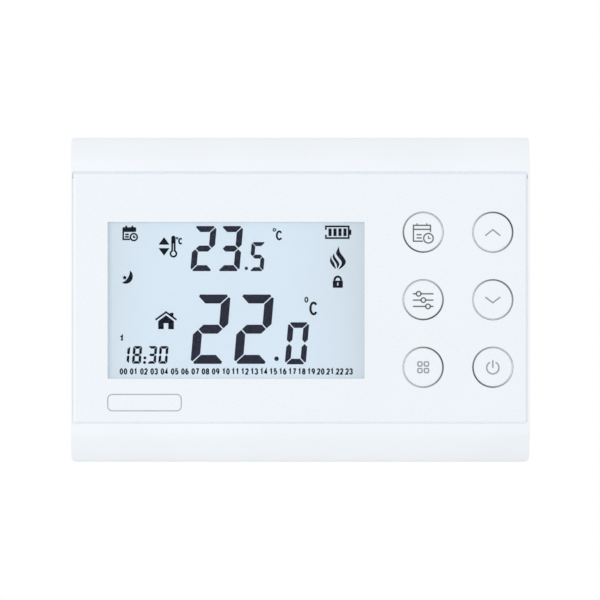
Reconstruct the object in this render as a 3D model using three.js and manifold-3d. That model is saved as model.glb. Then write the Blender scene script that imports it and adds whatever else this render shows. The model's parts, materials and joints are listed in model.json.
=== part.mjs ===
// A battery-powered wall thermostat: a wall plate with a screw terminal block, and a front unit that
// pulls straight off it. The front unit holds the display, the circuit board, two cells and six push
// buttons. Millimetres. The origin is the centre of the wall plate's back face: +X is to the right of
// someone facing the thermostat, +Z is up and +Y points into the wall.
//
// Most sizes through the thermostat are depths, counted from the wall towards the room, so a depth d
// lies at Y = -d.
import * as THREE from "three";
import { mergeVertices } from "three/addons/utils/BufferGeometryUtils.js";
import Module from "manifold-3d";

const wasm = await Module();
wasm.setup();

// ---------------------------------------------------------------------------------------------
// Driving dimensions
// ---------------------------------------------------------------------------------------------

const WIDTH = 120;
const HEIGHT = 85;
const DEPTH = 25;

const WALL = 1.8; // casing walls
const ROUND = 20; // sides of a large round
const SMALL_ROUND = 12; // sides of a small round

// Depths of the layers, from the wall to the front.
const PLATE_SKIN = 2.4;
const PLATE_RIM = 4.8;
const CASE_BACK = 3;
const COVER_BACK = 5.2;
const COVER_FRONT = 6.8;
const BOARD_BACK = 17.4;
const BOARD_FRONT = 19;
const SEAT_BACK = 21.4;
const SEAT_FRONT = 22.9;
const PANEL_BACK = 23;
const BAND_FRONT = 24.8;
const SHOULDER = 19.4; // where the sloping bands meet the top and bottom walls

// The front panel lies between two bands, in a recess that is wider above it than elsewhere.
const PANEL = { halfWidth: 59.35, bottom: -32.2, top: 33.1 };
const RECESS = { halfWidth: 59.5, bottom: -32.35, top: 33.45 };
const BAND_STRIP = 2.9; // flat strip of each band, beside the panel

// The display, and the six buttons in two columns and three rows.
const DISPLAY = { x: -16.85, z: -0.15, width: 67.3, height: 40.9 };
const COLUMNS = { left: 32.15, right: 50.35 };
const ROWS = { top: 17.65, middle: 0, bottom: -17.65 };
const BUTTON_RADIUS = 5.33;
const RING_WIDTH = 0.38;
const BUTTON_HOLE = BUTTON_RADIUS + 0.12;
const FLANGE_RADIUS = 6.1;

// Fastening of the front unit and of its rear cover.
const STUD = { x: 50, z: 24, radius: 2 };
const COVER_SCREW = { x: 53.5, z: 36.3, shank: 1.2, head: 2.65, cup: 3.5 };

// Two AAA cells lie one above the other in a bay that opens to the back.
const CELL = { radius: 5.25, length: 44.5, nubRadius: 1.9, nub: 0.9, depth: 10.85 };
const CELL_Z = { upper: 29.6, lower: 18.2 };
const CELL_NUB_X = 24.6; // how far each cell's nub reaches from the middle
const BAY = { halfWidth: 26.2, bottom: 12.4, top: 35.4, floor: 16.2, wall: 1.2 };

// The terminal block: three poles, each with a screw below and a socket above.
const BLOCK = { halfWidth: 14.5, bottom: -9, top: 7.5, back: 2.6, front: 12 };
const POLES = { left: -9, centre: 0, right: 9 };
const POLE_SCREW_Z = -3.6;
const POLE_SOCKET_Z = 4.6;

const FIT = 0.3; // gap between pieces that touch in the real assembly

// ---------------------------------------------------------------------------------------------
// Shape helpers
// ---------------------------------------------------------------------------------------------

// A rectangle with round corners in the X-Z plane; radii are one for the top pair and one below.
function roundedRectangle(x0, x1, z0, z1, topRadius, bottomRadius = topRadius) {
  const quarter = Math.PI / 2;
  const shape = new THREE.Shape();
  shape.moveTo(x0 + bottomRadius, z0);
  shape.lineTo(x1 - bottomRadius, z0);
  shape.absarc(x1 - bottomRadius, z0 + bottomRadius, bottomRadius, -quarter, 0, false);
  shape.lineTo(x1, z1 - topRadius);
  shape.absarc(x1 - topRadius, z1 - topRadius, topRadius, 0, quarter, false);
  shape.lineTo(x0 + topRadius, z1);
  shape.absarc(x0 + topRadius, z1 - topRadius, topRadius, quarter, 2 * quarter, false);
  shape.lineTo(x0, z0 + bottomRadius);
  shape.absarc(x0 + bottomRadius, z0 + bottomRadius, bottomRadius, 2 * quarter, 3 * quarter, false);
  return shape;
}

const centredRectangle = (width, height, radius, x = 0, z = 0) =>
  roundedRectangle(x - width / 2, x + width / 2, z - height / 2, z + height / 2, radius);

// A shape in the X-Z plane made solid between two depths.
function slab(shape, back, front, curveSegments = 2) {
  const depth = front - back;
  const geometry = new THREE.ExtrudeGeometry(shape, { depth, bevelEnabled: false, curveSegments });
  return geometry.rotateX(Math.PI / 2).translate(0, -back, 0);
}

// A shape drawn in the Y-Z plane made solid from one X to another.
function bar(shape, left, right) {
  const options = { depth: right - left, bevelEnabled: false, curveSegments: 8 };
  const geometry = new THREE.ExtrudeGeometry(shape, options);
  const axes = [new THREE.Vector3(0, 1, 0), new THREE.Vector3(0, 0, 1), new THREE.Vector3(1, 0, 0)];
  return geometry.applyMatrix4(new THREE.Matrix4().makeBasis(...axes)).translate(left, 0, 0);
}

function block(x0, x1, z0, z1, back, front) {
  const geometry = new THREE.BoxGeometry(x1 - x0, front - back, z1 - z0);
  return geometry.translate((x0 + x1) / 2, -(back + front) / 2, (z0 + z1) / 2);
}

// A round bar along the depth.
function disc(radius, back, front, x = 0, z = 0, sides = ROUND) {
  const geometry = new THREE.CylinderGeometry(radius, radius, front - back, sides);
  return geometry.translate(x, -(back + front) / 2, z);
}

// A turned piece along the depth: its profile is a list of [radius, depth], front to back.
function turned(profile, sides = ROUND) {
  return new THREE.LatheGeometry(profile.map(([r, d]) => new THREE.Vector2(r, -d)), sides);
}

// A slot with round ends, cut right through between two depths.
function slot(x, z, width, height, back, front) {
  return slab(centredRectangle(width, height, Math.min(width, height) / 2 - 0.01, x, z), back, front);
}

// ---------------------------------------------------------------------------------------------
// Joining and cutting
// ---------------------------------------------------------------------------------------------

function solidOf(geometry) {
  const bare = geometry.index ? geometry.toNonIndexed() : geometry.clone();
  bare.deleteAttribute("normal");
  bare.deleteAttribute("uv");
  const merged = mergeVertices(bare, 1e-4);
  const vertProperties = merged.attributes.position.array;
  const triVerts = new Uint32Array(merged.index.array);
  return new wasm.Manifold(new wasm.Mesh({ numProp: 3, vertProperties, triVerts }));
}

function geometryOf(solid) {
  const mesh = solid.getMesh();
  const positions = new Float32Array(mesh.vertProperties);
  const geometry = new THREE.BufferGeometry();
  geometry.setAttribute("position", new THREE.BufferAttribute(positions, 3));
  geometry.setIndex(new THREE.BufferAttribute(new Uint32Array(mesh.triVerts), 1));
  geometry.computeVertexNormals();
  return geometry;
}

const union = (geometries) => geometries.map(solidOf).reduce((all, next) => all.add(next));

// Joins the geometries in made and cuts those in removed away from them.
function shaped(made, removed = []) {
  const joined = union(made);
  return geometryOf(removed.length ? joined.subtract(union(removed)) : joined);
}

// Calls make(x, z) at the four corners of a rectangle about the middle.
const atCorners = ({ x, z }, make) =>
  [[-x, -z], [x, -z], [-x, z], [x, z]].map(([cornerX, cornerZ]) => make(cornerX, cornerZ));

const spread = (count, pitch) =>
  Array.from({ length: count }, (_, i) => (i - (count - 1) / 2) * pitch);

// ---------------------------------------------------------------------------------------------
// Materials
// ---------------------------------------------------------------------------------------------

const finish = (color, roughness, metalness = 0) =>
  new THREE.MeshStandardMaterial({ color, roughness, metalness });

const MATERIALS = {
  casing: finish(0xf0f4f9, 0.4),
  panel: finish(0xf1f5fa, 0.22),
  window: finish(0xf4f8fb, 0.05),
  glass: finish(0xd7e7f3, 0.3),
  guide: finish(0xeef4f6, 0.2),
  holder: finish(0xe6e8ea, 0.5),
  ring: finish(0x9a9c9f, 0.25, 1),
  steel: finish(0xb9bcc0, 0.3, 1),
  brass: finish(0xc8a45a, 0.3, 1),
  board: finish(0x1e6b3c, 0.45),
  component: finish(0x1f2022, 0.5),
  relay: finish(0x24507e, 0.45),
  terminal: finish(0x4f7f52, 0.5),
  rubber: finish(0xc98a86, 0.7),
  cell: finish(0x2f3236, 0.35),
  sensor: finish(0x2a2622, 0.6),
};

function piece(name, geometry, material, position = [0, 0, 0]) {
  const mesh = new THREE.Mesh(geometry, MATERIALS[material]);
  mesh.name = name;
  mesh.position.set(...position);
  return mesh;
}

// ---------------------------------------------------------------------------------------------
// Wall plate and terminal block
// ---------------------------------------------------------------------------------------------

const PLATE = { width: 117, height: 82, radius: 2.2 };
const RIM = { width: 112.4, height: 77.4, radius: 1.6, thickness: 1.4 };
const CABLE_OPENING = { x0: -14, x1: 14, z0: -30, z1: -12, radius: 2 };
const SCREW_SLOT = { width: 4.2, length: 9 };
const BOX_SCREWS = 30; // half of the 60 mm between the screws of a round wall box
const WIDE_BOX_SCREWS = 41.75; // half of the 83.5 mm between those of a three-module box
const PLUG_HOLES = { x: 47, z: 33.5, radius: 2.1 };

function wallPlate() {
  const through = [-1, PLATE_RIM + 1];
  const { width, length } = SCREW_SLOT;
  const rimInner = {
    width: RIM.width - 2 * RIM.thickness,
    height: RIM.height - 2 * RIM.thickness,
  };
  const rim = shaped(
    [slab(centredRectangle(RIM.width, RIM.height, RIM.radius), PLATE_SKIN - 0.5, PLATE_RIM)],
    [slab(centredRectangle(rimInner.width, rimInner.height, 0.6), PLATE_SKIN - 1, PLATE_RIM + 1)],
  );
  const studTip = STUD.radius + 0.3;
  const stud = (x, z) =>
    turned([
      [0, 9.2], [1.1, 9.2], [studTip, 8], [STUD.radius, 7.2], [STUD.radius, 3.4],
      [3.4, 3.4], [3.4, PLATE_SKIN - 0.5], [0, PLATE_SKIN - 0.5],
    ], SMALL_ROUND).translate(x, 0, z);
  return shaped(
    [
      slab(centredRectangle(PLATE.width, PLATE.height, PLATE.radius), 0, PLATE_SKIN),
      rim,
      ...atCorners(STUD, stud),
    ],
    [
      slab(
        roundedRectangle(
          CABLE_OPENING.x0, CABLE_OPENING.x1, CABLE_OPENING.z0, CABLE_OPENING.z1,
          CABLE_OPENING.radius,
        ),
        ...through,
      ),
      slot(-BOX_SCREWS, 0, length, width, ...through),
      slot(BOX_SCREWS, 0, length, width, ...through),
      disc(width / 2, ...through, -WIDE_BOX_SCREWS, 0, SMALL_ROUND),
      disc(width / 2, ...through, WIDE_BOX_SCREWS, 0, SMALL_ROUND),
      ...atCorners(PLUG_HOLES, (x, z) => disc(PLUG_HOLES.radius, ...through, x, z, SMALL_ROUND)),
      // Knock-outs in the rim, for a cable run on the wall.
      block(-6, 6, -RIM.height / 2 - 1, -RIM.height / 2 + 3, PLATE_SKIN + 0.6, PLATE_RIM + 1),
      block(-6, 6, RIM.height / 2 - 3, RIM.height / 2 + 1, PLATE_SKIN + 0.6, PLATE_RIM + 1),
    ],
  );
}

const POLE_CAVITY = { halfWidth: 3.5, bottom: -6.8, top: 6.6, front: 9.8 };
const WIRE_DEPTH = 5.1; // middle of the wire space inside a clamp

function terminalBlock() {
  const { halfWidth, bottom, top, back, front } = BLOCK;
  const hollows = Object.values(POLES).flatMap((x) => [
    block(
      x - POLE_CAVITY.halfWidth, x + POLE_CAVITY.halfWidth,
      POLE_CAVITY.bottom, POLE_CAVITY.top, back - 1, POLE_CAVITY.front,
    ),
    disc(2.7, POLE_CAVITY.front - 1, front + 1, x, POLE_SCREW_Z, ROUND),
    block(
      x - 1.1, x + 1.1, POLE_SOCKET_Z - 1.1, POLE_SOCKET_Z + 1.1,
      POLE_CAVITY.front - 1, front + 1,
    ),
    // Wire entry from below.
    new THREE.CylinderGeometry(1.7, 1.7, 4, SMALL_ROUND)
      .rotateX(Math.PI / 2)
      .translate(x, -WIRE_DEPTH, bottom + 1),
  ]);
  return shaped([block(-halfWidth, halfWidth, bottom, top, back, front)], hollows);
}

// A captive screw: its shank turns in the top wall of the clamp, which climbs it. Origin on its axis.
function terminalScrew() {
  const head = turned([
    [0, 11.5], [2.1, 11.5], [2.35, 11.2], [2.35, 10.3], [1.4, 10.3], [1.4, 7.7], [0, 7.7],
  ], SMALL_ROUND);
  return shaped([head], [block(-3, 3, -0.35, 0.35, 10.8, 12)]);
}

const CLAMP = { halfWidth: 3, halfLength: 2.5, wall: 0.7, back: 2.9, front: 8.3 };

// A rising clamp: a square tube that the wire and the current bar pass through. Origin on its screw.
function terminalClamp() {
  const { halfWidth, halfLength, wall, back, front } = CLAMP;
  return shaped(
    [block(-halfWidth, halfWidth, -halfLength, halfLength, back, front)],
    [
      block(-halfWidth + wall, halfWidth - wall, -5, 5, back + wall, front - wall),
      disc(1.7, front - 2, front + 1, 0, 0, SMALL_ROUND),
    ],
  );
}

const BAR_DEPTH = { back: 6.7, front: 7.4 };

// The fixed current bar, which ends in the socket that a contact pin plugs into. Origin on its screw.
function terminalSocket() {
  const socketZ = POLE_SOCKET_Z - POLE_SCREW_Z;
  return shaped(
    [
      block(-1.8, 1.8, -2.4, socketZ + 1.5, BAR_DEPTH.back, BAR_DEPTH.front),
      block(-1.5, 1.5, socketZ - 1.5, socketZ + 1.5, BAR_DEPTH.back, POLE_CAVITY.front - FIT),
    ],
    [block(-0.8, 0.8, socketZ - 0.8, socketZ + 0.8, BAR_DEPTH.front, POLE_CAVITY.front + 1)],
  );
}

// ---------------------------------------------------------------------------------------------
// Front unit: casing
// ---------------------------------------------------------------------------------------------

// The outline of the case seen from its side, in Y-Z: flat strips beside the panel, then a slope
// that curls back to the top and bottom walls.
function caseProfile() {
  const half = HEIGHT / 2;
  const topStrip = RECESS.top + BAND_STRIP;
  const bottomStrip = RECESS.bottom - BAND_STRIP;
  const shape = new THREE.Shape();
  shape.moveTo(-CASE_BACK, -half);
  shape.lineTo(-CASE_BACK, half);
  shape.lineTo(-SHOULDER, half);
  shape.bezierCurveTo(
    -SHOULDER - 1.3, half, -BAND_FRONT + 0.9, topStrip + 2.2, -BAND_FRONT, topStrip,
  );
  shape.lineTo(-BAND_FRONT, bottomStrip);
  shape.bezierCurveTo(
    -BAND_FRONT + 0.9, bottomStrip - 2.2, -SHOULDER - 1.3, -half, -SHOULDER, -half,
  );
  return shape;
}

// The hollow of the case, one wall inside its profile.
function cavityProfile() {
  const half = HEIGHT / 2 - WALL;
  const bend = 4.4;
  const shape = new THREE.Shape();
  shape.moveTo(-CASE_BACK + 1, -half);
  shape.lineTo(-CASE_BACK + 1, half);
  shape.lineTo(-SHOULDER + 1.6, half);
  shape.lineTo(-SEAT_BACK, half - bend);
  shape.lineTo(-SEAT_BACK, -half + bend);
  shape.lineTo(-SHOULDER + 1.6, -half);
  return shape;
}

const VENT = { width: 1.6, back: 8, front: 14, pitch: 4 };
const LCD_SEAT = { width: 75.8, height: 49.4 };
const BOARD_POSTS = { x: 23.3, z: 27.5 };

function ventSlots() {
  const wide = spread(13, VENT.pitch);
  const half = HEIGHT / 2;
  const side = WIDTH / 2;
  const alongTop = wide.map((x) =>
    block(x - VENT.width / 2, x + VENT.width / 2, half - WALL - 1, half + 1, VENT.back, VENT.front),
  );
  const alongBottom = wide.map((x) =>
    block(x - VENT.width / 2, x + VENT.width / 2, -half - 1, WALL + 1 - half, VENT.back, VENT.front),
  );
  const alongSides = spread(6, VENT.pitch).flatMap((z) => [
    block(-side - 1, WALL + 1 - side, z - VENT.width / 2, z + VENT.width / 2, VENT.back, VENT.front),
    block(side - WALL - 1, side + 1, z - VENT.width / 2, z + VENT.width / 2, VENT.back, VENT.front),
  ]);
  return [...alongTop, ...alongBottom, ...alongSides];
}

const buttonPlaces = Object.values(COLUMNS).flatMap((x) =>
  Object.values(ROWS).map((z) => ({ x, z })),
);

function frontCase() {
  const halfWidth = WIDTH / 2;
  const halfHeight = HEIGHT / 2;
  const outline = roundedRectangle(-halfWidth, halfWidth, -halfHeight, halfHeight, 0.7, 1.2);
  const body = solidOf(bar(caseProfile(), -halfWidth, halfWidth))
    .intersect(solidOf(slab(outline, CASE_BACK, DEPTH)));
  const recess = roundedRectangle(
    -RECESS.halfWidth, RECESS.halfWidth, RECESS.bottom, RECESS.top, 0.4,
  );
  const hollows = union([
    bar(cavityProfile(), -halfWidth + WALL, halfWidth - WALL),
    slab(recess, SEAT_FRONT, DEPTH + 1),
    slab(
      centredRectangle(LCD_SEAT.width, LCD_SEAT.height, 1, DISPLAY.x, DISPLAY.z),
      SEAT_BACK - 1, SEAT_FRONT + 1,
    ),
    ...buttonPlaces.map(({ x, z }) =>
      disc(FLANGE_RADIUS + 0.5, SEAT_BACK - 1, SEAT_FRONT + 1, x, z),
    ),
    ...ventSlots(),
    // Notch for a screwdriver that eases the unit off its wall plate.
    block(-8, 8, -halfHeight - 1, WALL + 1 - halfHeight, CASE_BACK - 1, CASE_BACK + 1.6),
  ]);
  const bossBack = COVER_FRONT + 1.8;
  const bosses = atCorners(COVER_SCREW, (x, z) =>
    shaped(
      [disc(3, bossBack, SEAT_BACK - 0.4, x, z, SMALL_ROUND)],
      [disc(COVER_SCREW.shank + 0.2, bossBack - 1, bossBack + 7, x, z, SMALL_ROUND)],
    ),
  );
  // Posts that the board rests on, right of the display.
  const posts = [-1, 1].flatMap((sign) => [
    disc(1.6, BOARD_FRONT + 0.1, SEAT_BACK + 0.5, BOARD_POSTS.x, sign * BOARD_POSTS.z, SMALL_ROUND),
    disc(1.6, BOARD_FRONT + 0.1, SEAT_BACK + 0.5, -50, sign * BOARD_POSTS.z, SMALL_ROUND),
  ]);
  return geometryOf(body.subtract(hollows).add(union([...bosses, ...posts])));
}

const COVER = { width: 115.8, height: 80.8, radius: 1.2 };
const COVER_WINDOW = { halfWidth: 15.3, bottom: -15.5, top: 8.3 };

function rearCover() {
  const cupFront = COVER_FRONT + 1.6;
  const bayWalls = roundedRectangle(
    -BAY.halfWidth - BAY.wall, BAY.halfWidth + BAY.wall,
    BAY.bottom - BAY.wall, BAY.top + BAY.wall, 0.8,
  );
  return shaped(
    [
      slab(centredRectangle(COVER.width, COVER.height, COVER.radius), COVER_BACK, COVER_FRONT),
      slab(bayWalls, COVER_BACK, BAY.floor + 1),
      ...atCorners(COVER_SCREW, (x, z) =>
        disc(COVER_SCREW.cup, COVER_BACK, cupFront, x, z, SMALL_ROUND),
      ),
    ],
    [
      block(-BAY.halfWidth, BAY.halfWidth, BAY.bottom, BAY.top, COVER_BACK - 1, BAY.floor),
      block(
        -COVER_WINDOW.halfWidth, COVER_WINDOW.halfWidth, COVER_WINDOW.bottom, COVER_WINDOW.top,
        COVER_BACK - 1, COVER_FRONT + 1,
      ),
      ...atCorners(STUD, (x, z) =>
        disc(STUD.radius + 0.8, COVER_BACK - 1, COVER_FRONT + 1, x, z, SMALL_ROUND),
      ),
      ...atCorners(COVER_SCREW, (x, z) =>
        disc(COVER_SCREW.head + 0.3, COVER_BACK - 1, COVER_BACK + 2.1, x, z, SMALL_ROUND),
      ),
      ...atCorners(COVER_SCREW, (x, z) =>
        disc(COVER_SCREW.shank + 0.3, COVER_BACK, cupFront + 1, x, z, SMALL_ROUND),
      ),
      // Air slots below the terminal window.
      ...spread(7, VENT.pitch).map((x) =>
        block(x - 0.8, x + 0.8, -33, -27, COVER_BACK - 1, COVER_FRONT + 1),
      ),
    ],
  );
}

function coverScrew() {
  const { shank, head } = COVER_SCREW;
  const top = COVER_BACK + 0.5;
  const body = turned([
    [0, top + 7.6], [0.4, top + 7.6], [shank, top + 6], [shank, top + 1.5],
    [head, top + 1.5], [head, top + 0.5], [1.6, top], [0, top],
  ], SMALL_ROUND);
  const cross = [block(-1.5, 1.5, -0.3, 0.3, top - 1, top + 0.8)];
  cross.push(block(-0.3, 0.3, -1.5, 1.5, top - 1, top + 0.8));
  return shaped([body], cross);
}

function frontPanel() {
  const { halfWidth, bottom, top } = PANEL;
  return shaped(
    [slab(roundedRectangle(-halfWidth, halfWidth, bottom, top, 0.5), PANEL_BACK, DEPTH)],
    [
      slab(
        centredRectangle(DISPLAY.width, DISPLAY.height, 0.4, DISPLAY.x, DISPLAY.z),
        PANEL_BACK - 1, DEPTH + 1,
      ),
      ...buttonPlaces.map(({ x, z }) => disc(BUTTON_HOLE, PANEL_BACK - 1, DEPTH + 1, x, z)),
    ],
  );
}

// ---------------------------------------------------------------------------------------------
// Front unit: display
// ---------------------------------------------------------------------------------------------

const GLASS = { width: 71.6, height: 45.2, back: 21.1, front: 22.8 };
const UPPER_GLASS_FRONT = 23.9;
const DISPLAY_GAP = 0.15; // between the window and the panel

const inOpening = (gap) =>
  centredRectangle(DISPLAY.width - 2 * gap, DISPLAY.height - 2 * gap, 0.3, DISPLAY.x, DISPLAY.z);

const displayWindow = () => slab(inOpening(DISPLAY_GAP), UPPER_GLASS_FRONT + 0.1, DEPTH - 0.25);

// Two glasses: the wide one behind sits in the holder, and the one on it fills the panel's opening.
function lcdGlass() {
  const left = DISPLAY.x - GLASS.width / 2;
  const bottom = DISPLAY.z - GLASS.height / 2;
  return shaped([
    block(left, left + GLASS.width, bottom, bottom + GLASS.height, GLASS.back, GLASS.front),
    slab(inOpening(2 * DISPLAY_GAP), GLASS.front - 0.5, UPPER_GLASS_FRONT),
  ]);
}

function lcdHolder() {
  const outer = centredRectangle(LCD_SEAT.width - 0.8, LCD_SEAT.height - 0.8, 0.8, DISPLAY.x, DISPLAY.z);
  const inner = centredRectangle(GLASS.width + 0.4, GLASS.height + 0.4, 0.2, DISPLAY.x, DISPLAY.z);
  return shaped(
    [slab(outer, BOARD_FRONT + 0.1, GLASS.front - 0.1)],
    [slab(inner, BOARD_FRONT - 1, GLASS.front + 1)],
  );
}

// Leaves room below for the zebra strip and on the right for the light.
const lightGuide = () => block(-52.2, 17.2, -19.6, 22, BOARD_FRONT + 0.3, GLASS.back - 0.1);
const zebraStrip = () => block(-51.5, 17.5, -22.2, -20.2, BOARD_FRONT + 0.1, GLASS.back - 0.1);
const backlightLed = () => block(17.5, 18.5, -2, 2, BOARD_FRONT + 0.1, BOARD_FRONT + 1.5);

// ---------------------------------------------------------------------------------------------
// Front unit: electronics
// ---------------------------------------------------------------------------------------------

const BOARD = { halfWidth: 56.8, halfHeight: 32.4 };
const ON_BACK = BOARD_BACK - 0.1; // where parts on the back of the board end

const mainBoard = () =>
  slab(centredRectangle(2 * BOARD.halfWidth, 2 * BOARD.halfHeight, 1), BOARD_BACK, BOARD_FRONT);
const relay = () => block(-44, -25, -27, -11.5, 8.6, ON_BACK);
const microcontroller = () => block(19, 29, -26, -16, ON_BACK - 1.5, ON_BACK);
const crystal = () => slot(33.5, -26, 4.4, 10.6, ON_BACK - 3.4, ON_BACK);

const storageCapacitor = () =>
  turned([[0, 17.3], [4, 17.3], [4, 8.8], [3.6, 8.4], [0, 8.4]], SMALL_ROUND)
    .translate(41.5, 0, -16);

// A thermistor bead held below the board by its two leads, near the bottom vents.
function temperatureSensor() {
  const depth = 15.6;
  const lead = (x) => block(x - 0.3, x + 0.3, -36.5, -30.4, depth - 0.3, depth + 0.3);
  const foot = (x) => block(x - 0.3, x + 0.3, -31, -30.4, depth - 0.3, ON_BACK);
  const bead = new THREE.SphereGeometry(1.7, SMALL_ROUND, 8).translate(46, -depth, -37.4);
  return shaped([lead(45), lead(47), foot(45), foot(47), bead]);
}

// Three pins that plug straight into the terminal block's sockets.
function pinHeader() {
  const z = POLE_SOCKET_Z;
  const pins = Object.values(POLES).map((x) =>
    block(x - 0.5, x + 0.5, z - 0.5, z + 0.5, BAR_DEPTH.front + 0.4, 15.5),
  );
  return shaped([block(-11.5, 11.5, z - 1.5, z + 1.5, 14.8, ON_BACK), ...pins]);
}

const SWITCH = { size: 6.2, front: 20.95, well: 1.8, wellBack: 19.55 };

const tactSwitch = () =>
  shaped(
    [slab(centredRectangle(SWITCH.size, SWITCH.size, 0.5), BOARD_FRONT + 0.1, SWITCH.front, 1)],
    [disc(SWITCH.well, SWITCH.wellBack, SWITCH.front + 1, 0, 0, SMALL_ROUND)],
  );

const tactPlunger = () =>
  turned([[0, 21.5], [1.4, 21.5], [1.6, 21.3], [1.6, 20.2], [0, 20.2]], SMALL_ROUND);

// ---------------------------------------------------------------------------------------------
// Front unit: cells and contacts
// ---------------------------------------------------------------------------------------------

// An AAA cell that points its nub along +X, with its origin at the nub's end.
function cell() {
  const { radius, length, nubRadius, nub } = CELL;
  const profile = [
    [0, length], [radius - 0.5, length], [radius, length - 0.5],
    [radius, nub + 0.5], [radius - 0.5, nub], [nubRadius, nub], [nubRadius, 0], [0, 0],
  ];
  return turned(profile, 20).rotateZ(-Math.PI / 2);
}

// A conical coil along X, from its wide foot at x = 0 to its small end.
class ConeSpringCurve extends THREE.Curve {
  constructor({ foot, tip, reach, turns }) {
    super();
    Object.assign(this, { foot, tip, reach, turns });
  }
  getPoint(t, target = new THREE.Vector3()) {
    const radius = this.foot + (this.tip - this.foot) * t;
    const angle = 2 * Math.PI * this.turns * t;
    return target.set(this.reach * t, radius * Math.cos(angle), radius * Math.sin(angle));
  }
}

const SPRING = { foot: 3.4, tip: 2, reach: 4.3, turns: 3 };
const WIRE_RADIUS = 0.3;
const CONTACT_X = 25.45; // near face of each contact plate
const CONTACT_THICKNESS = 0.5;

function coneSpring() {
  const section = new THREE.Shape();
  section.absarc(0, 0, WIRE_RADIUS, 0, 2 * Math.PI, false);
  return new THREE.ExtrudeGeometry(section, {
    steps: 30, curveSegments: 3, extrudePath: new ConeSpringCurve(SPRING),
  });
}

const contactPlate = (z0, z1) =>
  block(CONTACT_X, CONTACT_X + CONTACT_THICKNESS, z0, z1, CELL.depth - 4.2, CELL.depth + 4.2);

// The spring reaches from its plate back towards the cell.
const springAt = (z) =>
  coneSpring().rotateZ(Math.PI).translate(CONTACT_X + 0.2, -CELL.depth, z);

// Joins the upper cell's nub to the lower cell's flat end, at the right of the bay.
const bridgeContact = () =>
  shaped([contactPlate(CELL_Z.lower - 4.6, CELL_Z.upper + 4.6), springAt(CELL_Z.lower)]);

const negativeContact = () =>
  shaped([contactPlate(CELL_Z.upper - 4.6, CELL_Z.upper + 4.6), springAt(CELL_Z.upper)])
    .rotateY(Math.PI)
    .translate(0, 0, 2 * CELL_Z.upper);

const positiveContact = () =>
  contactPlate(CELL_Z.lower - 4.6, CELL_Z.lower + 4.6)
    .rotateY(Math.PI)
    .translate(0, 0, 2 * CELL_Z.lower);

// ---------------------------------------------------------------------------------------------
// Push buttons
// ---------------------------------------------------------------------------------------------

// A cap with a retaining flange behind the panel and a short stem. Origin on its axis.
function buttonCap() {
  const rebate = BUTTON_RADIUS - RING_WIDTH;
  return turned([
    [0, DEPTH - 0.05], [rebate - 0.1, DEPTH - 0.05],
    [rebate - 0.1, DEPTH - 0.7], [BUTTON_RADIUS, DEPTH - 0.7],
    [BUTTON_RADIUS, SEAT_FRONT - 0.15], [FLANGE_RADIUS, SEAT_FRONT - 0.15],
    [FLANGE_RADIUS, SEAT_FRONT - 0.8], [1.3, SEAT_FRONT - 0.8],
    [1.3, SEAT_FRONT - 1.3], [0, SEAT_FRONT - 1.3],
  ]);
}

// The bright metal ring round the cap's edge.
function buttonRing() {
  const inner = BUTTON_RADIUS - RING_WIDTH;
  const back = DEPTH - 0.55;
  const front = DEPTH + 0.1;
  return turned([
    [inner, back], [inner, front], [BUTTON_RADIUS, front], [BUTTON_RADIUS, back], [inner, back],
  ]);
}

// ---------------------------------------------------------------------------------------------
// Assembly
// ---------------------------------------------------------------------------------------------

function wallSide() {
  const group = new THREE.Group();
  group.add(piece("wall_plate", wallPlate(), "casing"));
  group.add(piece("terminal_block", terminalBlock(), "terminal"));
  for (const [pole, x] of Object.entries(POLES)) {
    const place = [x, 0, POLE_SCREW_Z];
    group.add(piece(`terminal_screw_${pole}`, terminalScrew(), "steel", place));
    group.add(piece(`terminal_clamp_${pole}`, terminalClamp(), "steel", place));
    group.add(piece(`terminal_socket_${pole}`, terminalSocket(), "brass", place));
  }
  return group;
}

function casingGroup() {
  const group = new THREE.Group();
  group.add(piece("front_case", frontCase(), "casing"));
  group.add(piece("front_panel", frontPanel(), "panel"));
  group.add(piece("rear_cover", rearCover(), "casing"));
  const corners = { lower_left: [-1, -1], lower_right: [1, -1], upper_left: [-1, 1], upper_right: [1, 1] };
  for (const [corner, [signX, signZ]] of Object.entries(corners)) {
    const place = [signX * COVER_SCREW.x, 0, signZ * COVER_SCREW.z];
    group.add(piece(`cover_screw_${corner}`, coverScrew(), "steel", place));
  }
  return group;
}

function displayGroup() {
  const group = new THREE.Group();
  group.add(piece("display_window", displayWindow(), "window"));
  group.add(piece("lcd_glass", lcdGlass(), "glass"));
  group.add(piece("lcd_holder", lcdHolder(), "holder"));
  group.add(piece("light_guide", lightGuide(), "guide"));
  group.add(piece("zebra_strip", zebraStrip(), "rubber"));
  group.add(piece("backlight_led", backlightLed(), "holder"));
  return group;
}

function electronicsGroup() {
  const group = new THREE.Group();
  group.add(piece("main_board", mainBoard(), "board"));
  group.add(piece("relay", relay(), "relay"));
  group.add(piece("microcontroller", microcontroller(), "component"));
  group.add(piece("crystal", crystal(), "steel"));
  group.add(piece("storage_capacitor", storageCapacitor(), "component"));
  group.add(piece("temperature_sensor", temperatureSensor(), "sensor"));
  group.add(piece("pin_header", pinHeader(), "brass"));
  return group;
}

function powerGroup() {
  const group = new THREE.Group();
  const upper = piece("battery_upper", cell(), "cell", [CELL_NUB_X, -CELL.depth, CELL_Z.upper]);
  const lower = piece("battery_lower", cell(), "cell", [-CELL_NUB_X, -CELL.depth, CELL_Z.lower]);
  lower.rotation.y = Math.PI;
  group.add(upper, lower);
  group.add(piece("battery_contact_bridge", bridgeContact(), "steel"));
  group.add(piece("battery_contact_negative", negativeContact(), "steel"));
  group.add(piece("battery_contact_positive", positiveContact(), "steel"));
  return group;
}

const BUTTONS = {
  program: ["left", "top"],
  settings: ["left", "middle"],
  menu: ["left", "bottom"],
  up: ["right", "top"],
  down: ["right", "middle"],
  power: ["right", "bottom"],
};

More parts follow.
